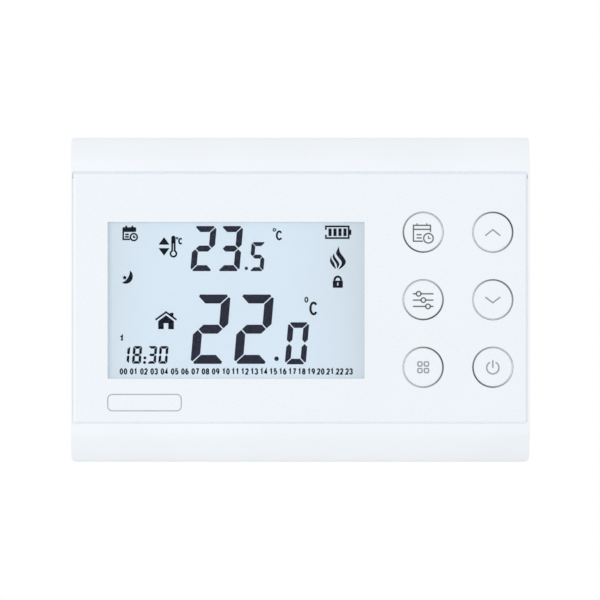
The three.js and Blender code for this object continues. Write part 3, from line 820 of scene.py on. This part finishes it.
def hour_scale():
    """The hours from 00 to 23, and the number of the day above their start."""
    bm = bmesh.new()
    for hour in range(HOURS):
        x = FIRST_HOUR_X + min(hour, TEN) * PITCH_TO_TEN + max(hour - TEN, 0) * PITCH_FROM_TEN
        lettering(bm, f"{hour:02d}", x, HOUR_BASE, *SMALL_TYPE, *INK)
    lettering(bm, "1", -46.68, -10.98, 1.05, 1.7, 0.58, *INK)
    finished("lcd_hour_scale", bm, SYMBOL_INK, UNIT)


def battery_symbol(bm):
    left, right, low, high, width = 6.72, 12.69, 16.13, 19.18, 0.46
    reach = width / 2
    for z in (low, high):
        line(bm, [(left - reach, z), (right - reach - 0.02, z)], width, *INK, round_ends=False)
    line(bm, [(right, low - reach), (right, high + reach)], width, *INK, round_ends=False)
    for start, end in ((low + reach + 0.02, 17.0), (18.3, high - reach - 0.02)):
        line(bm, [(left, start), (left, end)], width, *INK, round_ends=False)
    line(bm, [(right + 0.45, 16.95), (right + 0.45, 18.35)], 0.46, *INK, round_ends=False)
    for index in range(4):
        x = 7.81 + index * 1.3
        line(bm, [(x, 16.65), (x, 18.65)], 0.84, *INK, round_ends=False)


def calendar_symbol(bm):
    left, right = -46.4, -43.0
    header = rectangle((left + right) / 2, 18.35, right - left + 0.2, 1.25, 0.3, 3)
    plate(bm, header, *INK)
    for x in (-45.5, -43.9):
        line(bm, [(x, 18.9), (x, 19.15)], 0.5, *INK)
    line(bm, [(left + 0.1, 17.8), (left + 0.1, 15.8), (-44.7, 15.8)], 0.42, *INK)
    for z in (17.1, 16.45):
        line(bm, [(-45.65, z), (-45.0, z)], 0.42, *INK)
    hoop(bm, circle(-43.53, 16.39, 0.9, 28), 0.42, *INK)
    line(bm, [(-43.55, 16.65), (-43.55, 16.35), (-43.25, 16.35)], 0.38, *INK)


def thermometer_symbol(bm):
    shape(bm, [(-37.05, 14.4), (-34.2, 14.4), (-35.62, 16.4)], *INK)
    shape(bm, [(-37.05, 13.5), (-35.62, 11.55), (-34.2, 13.5)], *INK)
    bulb = arc(-33.16, 12.05, 0.78, 115, 425, 24)
    crown = arc(-33.16, 16.2, 0.33, 0, 180, 10)
    hoop(bm, moved_sideways(bulb + crown), 0.46, *INK)
    line(bm, [(-33.16, 16.2), (-33.16, 14.9)], 0.45, *INK)
    lettering(bm, "C", -31.35, 14.45, 1.15, 1.75, 0.42, *INK)
    hoop(bm, circle(-32.2, 16.1, 0.22, 14), 0.24, *INK)


def bow(start, end, rise, steps=16):
    """Points on the circular arc from start to end that stands off its chord by rise."""
    chord = Vector(end) - Vector(start)
    half = chord.length / 2
    radius = (half * half + rise * rise) / (2 * abs(rise))
    side = Vector((chord.y, -chord.x)).normalized() * (1 if rise > 0 else -1)
    centre = Vector(start) + chord / 2 - side * (radius - abs(rise))
    first = Vector(start) - centre
    last = Vector(end) - centre
    sweep = first.angle_signed(last)
    points = []
    for step in range(steps + 1):
        turned = first.copy()
        turned.rotate(Matrix.Rotation(-sweep * step / steps, 2))
        points.append(tuple(centre + turned))
    return points


def night_symbol(bm):
    top, bottom = (-44.55, 7.65), (-46.65, 4.45)
    outer = bow(top, bottom, -1.8)
    inner = bow(bottom, top, 0.6)
    shape(bm, outer + inner[1:-1], *INK)
    star = []
    for index in range(10):
        radius = 0.6 if index % 2 == 0 else 0.35
        star.append(arc(-45.91, 5.78, radius, 90 + 36 * index, 90, 1)[0])
    shape(bm, star, *INK)


def home_symbol(bm):
    line(bm, [(-37.85, -5.25), (-35.1, -3.25), (-32.36, -5.25)], 0.46, *INK, round_ends=False)
    chimney = [(-34.05, -3.8), (-34.05, -3.42), (-33.15, -3.42), (-33.15, -4.5)]
    shape(bm, chimney, *INK)
    outline = [
        (-37.15, -7.7), (-35.7, -7.7), (-35.7, -6.15), (-34.5, -6.15),
        (-34.5, -7.7), (-33.05, -7.7), (-33.05, -5.6), (-35.1, -4.05), (-37.15, -5.6),
    ]
    shape(bm, outline, *INK)


def smooth_loop(controls, steps=5):
    """A closed curve through the control points (Catmull-Rom), cornered at the first one."""
    count = len(controls)
    points = []
    for i in range(count):
        p1 = Vector(controls[i])
        p2 = Vector(controls[(i + 1) % count])
        p0 = p1 if i == 0 else Vector(controls[i - 1])
        p3 = p2 if i == count - 1 else Vector(controls[(i + 2) % count])
        for step in range(steps):
            t = step / steps
            a = p1 * 2
            b = (p2 - p0) * t
            c = (p0 * 2 - p1 * 5 + p2 * 4 - p3) * t * t
            d = (p1 * 3 - p0 - p2 * 3 + p3) * t * t * t
            points.append(tuple((a + b + c + d) / 2))
    return points


# Three tongues, each an outline from its tip round to the right, down and back up.
FLAME = (
    (
        (10.16, 14.0), (10.38, 12.5), (11.3, 11.2), (11.95, 9.95), (11.4, 8.85),
        (10.0, 7.9), (10.75, 9.15), (10.75, 10.1), (9.9, 11.2), (9.4, 12.3),
    ),
    (
        (8.85, 12.2), (9.1, 11.2), (9.8, 10.2), (10.25, 9.3), (9.7, 8.2),
        (9.5, 9.35), (8.8, 10.4), (8.5, 11.3),
    ),
    ((8.1, 11.65), (8.2, 10.7), (8.85, 9.6), (9.35, 8.1), (8.5, 8.8), (7.8, 10.05)),
)


def flame_symbol(bm):
    for controls in FLAME:
        shape(bm, smooth_loop(controls), *INK)


def padlock_symbol(bm):
    body = rectangle(9.84, 4.05, 2.62, 1.85, 0.12, 3)
    keyhole = rectangle(9.84, 4.1, 0.32, 0.85, 0.15, 3)
    plate(bm, body, *INK, holes=[(keyhole, 0)])
    shackle = [(9.0, 5.0)] + arc(9.84, 5.2, 0.84, 180, 0, 14) + [(10.68, 5.0)]
    line(bm, shackle, 0.55, *INK, round_ends=False)


def degree_symbols(bm):
    hoop(bm, circle(-6.75, 18.28, 0.33, 20), 0.28, *INK)
    lettering(bm, "C", -5.5, 15.52, 1.75, 2.6, 0.5, *INK)
    hoop(bm, oval(arc(1.62, 0, (0.36, 0.6), 0, 342, 19)), 0.34, *INK)
    lettering(bm, "C", 3.48, -4.08, 2.2, 3.6, 0.6, *INK)


def symbols():
    bm = bmesh.new()
    drawings = (
        clock, battery_symbol, calendar_symbol, thermometer_symbol, night_symbol,
        home_symbol, flame_symbol, padlock_symbol, degree_symbols,
    )
    for draw in drawings:
        draw(bm)
    finished("lcd_symbols", bm, SYMBOL_INK, UNIT)


display_window()
display_glass()
numerals()
hour_scale()
symbols()
refined("lcd_holder", HOLDER, width=0.08)
refined("light_guide", GUIDE, width=0.1)
refined("zebra_strip", RUBBER, width=0.1)
refined("backlight_led", HOLDER, width=0.08)

# ---------------------------------------------------------------------------------------------
# Buttons
# ---------------------------------------------------------------------------------------------

CAP_FRONT = PANEL_FRONT - 0.02
CAP_FLANGE = {"radius": 6.1, "back": 22.1, "front": 22.75}
CAP_SHOULDER = 24.3
CAP_STEM = {"radius": 1.3, "back": 21.6}
# The soft rim of a cap, as distances in from its ring and back from its front.
CAP_RIM = ((0.25, 0), (0.08, 0.03), (0.02, 0.1))
RING_STEPS = 8
RING_BACK = 24.4
RING_FRONT = PANEL_FRONT + 0.06
CAP_INK = (CAP_FRONT, CAP_FRONT + FILM)
STROKE = 0.36  # width of an icon's lines
# The direction in which each ring's painted reflection is darkest, in degrees anticlockwise from
# +X, and how dark it is there.
RING_PAINTED_REFLECTIONS = {
    "program": (225, 0.92),
    "settings": (308, 0.95),
    "menu": (18, 0.95),
    "up": (32, 1.0),
    "down": (42, 0.75),
    "power": (202, 0.9),
}


def program_icon(bm, x, z):
    left, right, low, high = x - 2.55, x + 1.9, z - 2.35, z + 1.8
    header = z + 0.75
    outline = [(right, z + 0.2), (right, high), (left, high), (left, low), (x - 0.2, low)]
    line(bm, outline, STROKE, *CAP_INK)
    line(bm, [(left + 0.2, header), (right - 0.2, header)], STROKE, *CAP_INK, round_ends=False)
    for tick in (x - 1.6, x + 0.95):
        line(bm, [(tick, high + 0.2), (tick, high + 0.45)], STROKE * 0.8, *CAP_INK)
    for row in (z - 0.65, z - 1.5):
        line(bm, [(left + 0.95, row), (left + 2.0, row)], STROKE, *CAP_INK)
    clock_x, clock_z = x + 1.37, z - 1.58
    hoop(bm, circle(clock_x, clock_z, 1.25, 36), STROKE, *CAP_INK)
    hands = [(clock_x, clock_z + 0.55), (clock_x, clock_z - 0.05), (clock_x + 0.5, clock_z - 0.05)]
    line(bm, hands, STROKE * 0.75, *CAP_INK)


def settings_icon(bm, x, z):
    for row, knob in ((1.65, -1.2), (0, 0.05), (-1.65, 1.25)):
        height = z + row - 0.1
        line(bm, [(x - 2.55, height), (x + knob - 0.7, height)], STROKE, *CAP_INK)
        line(bm, [(x + knob + 0.7, height), (x + 2.55, height)], STROKE, *CAP_INK)
        hoop(bm, circle(x + knob, height, 0.6, 28), STROKE, *CAP_INK)


def menu_icon(bm, x, z):
    for across in (-0.85, 0.85):
        for up in (-0.87, 0.87):
            square = rectangle(x + across, z + up, 1.1, 1.1, 0.3, 4)
            hoop(bm, square, STROKE, *CAP_INK)


def chevron(bm, x, z, rise):
    points = [(x - 1.95, z - rise / 2), (x, z + rise / 2), (x + 1.95, z - rise / 2)]
    line(bm, points, STROKE, *CAP_INK, round_ends=False)


def up_icon(bm, x, z):
    chevron(bm, x, z - 0.12, 1.55)


def down_icon(bm, x, z):
    chevron(bm, x, z - 0.05, -1.5)


def power_icon(bm, x, z):
    line(bm, arc(x, z - 0.13, 1.6, 122, 418, 40), STROKE, *CAP_INK)
    line(bm, [(x, z + 1.72), (x, z - 0.03)], STROKE, *CAP_INK)


ICONS = {
    "program": program_icon,
    "settings": settings_icon,
    "menu": menu_icon,
    "up": up_icon,
    "down": down_icon,
    "power": power_icon,
}


def push_button(name):
    x, z = BUTTON_PLACES[name]
    body = "push_" + name
    inner = RING_RADIUS - RING_WIDTH
    crown = [(0, CAP_FRONT)]
    crown += [(inner - inward, CAP_FRONT - back) for inward, back in CAP_RIM]
    skirt = [
        (crown[-1][0], CAP_SHOULDER), (RING_RADIUS, CAP_SHOULDER),
        (RING_RADIUS, CAP_FLANGE["front"]), (CAP_FLANGE["radius"], CAP_FLANGE["front"]),
        (CAP_FLANGE["radius"], CAP_FLANGE["back"]),
    ]
    stem = [
        (CAP_STEM["radius"], CAP_FLANGE["back"]), (CAP_STEM["radius"], CAP_STEM["back"]),
        (0, CAP_STEM["back"]),
    ]
    cap_bm = bmesh.new()
    lathe(cap_bm, x, z, crown + skirt + stem)
    cap_piece = finished(f"button_{name}_form", cap_bm, PANEL, body)
    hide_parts("button_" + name)

    ring_bm = bmesh.new()
    rounding = RING_WIDTH / 2
    profile = [(inner, RING_BACK)]
    for step in range(RING_STEPS + 1):
        angle = math.pi * step / RING_STEPS
        radius = inner + rounding - rounding * math.cos(angle)
        profile.append((radius, RING_FRONT - rounding + rounding * math.sin(angle)))
    profile += [(RING_RADIUS, RING_BACK), (inner, RING_BACK)]
    lathe(ring_bm, x, z, profile)
    # The ring's colour carries a painted reflection, dark on one side.
    material = ring_material("ring_" + name, x, z, *RING_PAINTED_REFLECTIONS[name])
    ring = finished(f"button_ring_{name}_form", ring_bm, material, body)
    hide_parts("button_ring_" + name)

    icon_bm = bmesh.new()
    ICONS[name](icon_bm, x, z)
    ink = DARK_GREY_INK if name in ("program", "settings") else GREY_INK
    finished(f"button_{name}_symbol", icon_bm, ink, body)
    refined("switch_plunger_" + name, BLACK_PLASTIC, width=0.08)
    refined("tact_switch_" + name, STEEL, width=0.1)


for button_name in BUTTON_NAMES:
    push_button(button_name)


NAMEPLATE = {"x": -40.7, "z": -26.9, "width": 19.2, "height": 4.3, "radius": 1.2}
NAMEPLATE_LINE = 0.24
NAMEPLATE_INK = (PANEL_FRONT, PANEL_FRONT + 0.02)


def nameplate():
    """A blank outlined field where a maker would print a name."""
    bm = bmesh.new()
    hoop(bm, rectangle(**NAMEPLATE, steps=8), NAMEPLATE_LINE, *NAMEPLATE_INK)
    finished("blank_nameplate", bm, PALE_INK, UNIT)


nameplate()

# ---------------------------------------------------------------------------------------------
# Inside: electronics, cells and contacts, terminals
# ---------------------------------------------------------------------------------------------

# Each node's material, slot and edge width.
INSIDE = {
    "main_board": (BOARD, "board", 0.12),
    "relay": (RELAY, "relay", 0.4),
    "microcontroller": (BLACK_PLASTIC, "component", 0.15),
    "crystal": (STEEL, "steel", 0.15),
    "storage_capacitor": (BLACK_PLASTIC, "component", 0.2),
    "temperature_sensor": (EPOXY, "sensor", 0.05),
    "pin_header": (BRASS, "brass", 0.08),
    "battery_contact_bridge": (STEEL, "steel", 0.0),
    "battery_contact_negative": (STEEL, "steel", 0.0),
    "battery_contact_positive": (STEEL, "steel", 0.08),
    "terminal_block": (TERMINAL, "terminal", 0.12),
}
for node_name, (node_material, node_slot, edge_width) in INSIDE.items():
    refined(node_name, node_material, width=edge_width)

POLES = ("left", "centre", "right")
for pole_name in POLES:
    refined("terminal_screw_" + pole_name, STEEL, width=0.1)
    refined("terminal_clamp_" + pole_name, STEEL, width=0.1)
    refined("terminal_socket_" + pole_name, BRASS, width=0.06)

for corner_name in ("lower_left", "lower_right", "upper_left", "upper_right"):
    refined("cover_screw_" + corner_name, STEEL, width=0)

CELL_NUB = 24.6  # how far a nub is from the middle of the bay
refined("battery_upper", cell_material("cell_upper", CELL_NUB, 1), width=0.25)
refined("battery_lower", cell_material("cell_lower", -CELL_NUB, -1), width=0.25)

COVER_BACK = 5.2
RELIEF = 0.3  # how far moulded marks stand out
POLARITY_X = 30
MARK_REACH = 1.5  # half of a polarity mark's length
MARK_WIDTH = 0.7
ARM_START = 0.36  # a plus sign's upright arms begin clear of its bar
MARK_CORNER = 0.1
PLATE_FRONT = 2.4
TERMINAL_TYPE = (1.7, 2.6, 0.42)  # a number's width and height, and its stroke
ABOVE_BLOCK = 1.2


def polarity_marks():
    """Raised signs on the rear cover beside the bay: each cell's nub points to its plus sign."""
    bm = bmesh.new()
    for cell_name, nub_side in (("battery_upper", 1), ("battery_lower", -1)):
        z = centre_of(cell_name)[1]
        depths = (COVER_BACK - RELIEF, COVER_BACK + 0.02)
        for side in (1, -1):
            x = side * POLARITY_X
            bar = rectangle(x, z, 2 * MARK_REACH, MARK_WIDTH, MARK_CORNER, 2)
            plate(bm, bar, *depths)
            if side == nub_side:
                length = MARK_REACH - ARM_START
                for up in (1, -1):
                    arm_z = z + up * (MARK_REACH + ARM_START) / 2
                    arm = rectangle(x, arm_z, MARK_WIDTH, length, MARK_CORNER, 2)
                    plate(bm, arm, *depths)
    finished("polarity_marks", bm, CASING, UNIT)


def terminal_numbers():
    """Numbers printed on the wall plate above the three poles."""
    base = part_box("terminal_block")[1].z / MM + ABOVE_BLOCK
    ink = (PLATE_FRONT, PLATE_FRONT + FILM)
    bm = bmesh.new()
    for number, pole in enumerate(POLES, 1):
        x = centre_of("terminal_screw_" + pole)[0]
        lettering(bm, str(number), x, base, *TERMINAL_TYPE, *ink)
    finished("terminal_numbers", bm, DARK_GREY_INK, "wall_base")


polarity_marks()
terminal_numbers()

# ---------------------------------------------------------------------------------------------
# Studio
# ---------------------------------------------------------------------------------------------

# Positions and sizes in the studio are in metres.
CAMERA_DISTANCE = 1.3
FRAME_WIDTH = 0.15686  # what the picture spans at the front of the casing
SENSOR = 36
CASING_FRONT = 0.0248
AIM = (-0.00005, -0.00007)  # what the camera looks straight at, as (x, z)
ROOM_LIGHT = 0.873  # strength of the light the room sheds
BACKGROUND = 1.0  # and of the room as the camera sees it
FLOOR_RADIUS = 2.35
FLOOR_LEVEL = -0.35
KEY_PLACE = (-1.6, -2.1, 0.12)
KEY_SIZE = (1.4, 1.4)
KEY_POWER = 16


def camera():
    data = bpy.data.cameras.new("camera")
    data.sensor_width = SENSOR
    data.lens = SENSOR * CAMERA_DISTANCE / FRAME_WIDTH
    data.clip_start = 0.05
    data.clip_end = 20
    piece = bpy.data.objects.new("camera", data)
    piece.location = (AIM[0], -CASING_FRONT - CAMERA_DISTANCE, AIM[1])
    piece.rotation_euler = (math.pi / 2, 0, 0)
    bpy.context.scene.collection.objects.link(piece)
    bpy.context.scene.camera = piece


def area_light(name, place, size, power):
    data = bpy.data.lights.new(name, "AREA")
    data.shape = "RECTANGLE"
    data.size, data.size_y = size
    data.energy = power
    piece = bpy.data.objects.new(name, data)
    piece.location = place
    piece.rotation_euler = (-Vector(place)).to_track_quat("-Z", "Y").to_euler()
    bpy.context.scene.collection.objects.link(piece)


def surroundings():
    """A white room, a little brighter to the eye than in the light it sheds."""
    world = bpy.data.worlds.new("studio")
    world.use_nodes = True
    bpy.context.scene.world = world
    tree = world.node_tree
    background = tree.nodes["Background"]
    seen = tree.nodes.new("ShaderNodeLightPath").outputs["Is Camera Ray"]
    level = tree.nodes.new("ShaderNodeMapRange")
    level.inputs["To Min"].default_value = ROOM_LIGHT
    level.inputs["To Max"].default_value = BACKGROUND
    tree.links.new(seen, level.inputs[0])
    background.inputs["Color"].default_value = (1, 1, 1, 1)
    tree.links.new(level.outputs[0], background.inputs["Strength"])


def floor():
    mesh = bpy.data.meshes.new("floor")
    bm = bmesh.new()
    bmesh.ops.create_circle(bm, cap_ends=True, segments=FINE_SIDES, radius=FLOOR_RADIUS)
    bm.to_mesh(mesh)
    bm.free()
    shader = Shader("floor", (0.93, 0.935, 0.94), 0.6)
    shader.roughness(shader.noise(20, 2), 0.5, 0.7)
    mesh.materials.append(shader.material)
    piece = bpy.data.objects.new("floor", mesh)
    piece.location = (0, 0, FLOOR_LEVEL)
    bpy.context.scene.collection.objects.link(piece)


camera()
surroundings()
floor()
area_light("key", KEY_PLACE, KEY_SIZE, KEY_POWER)
bpy.context.scene.view_settings.view_transform = "Standard"
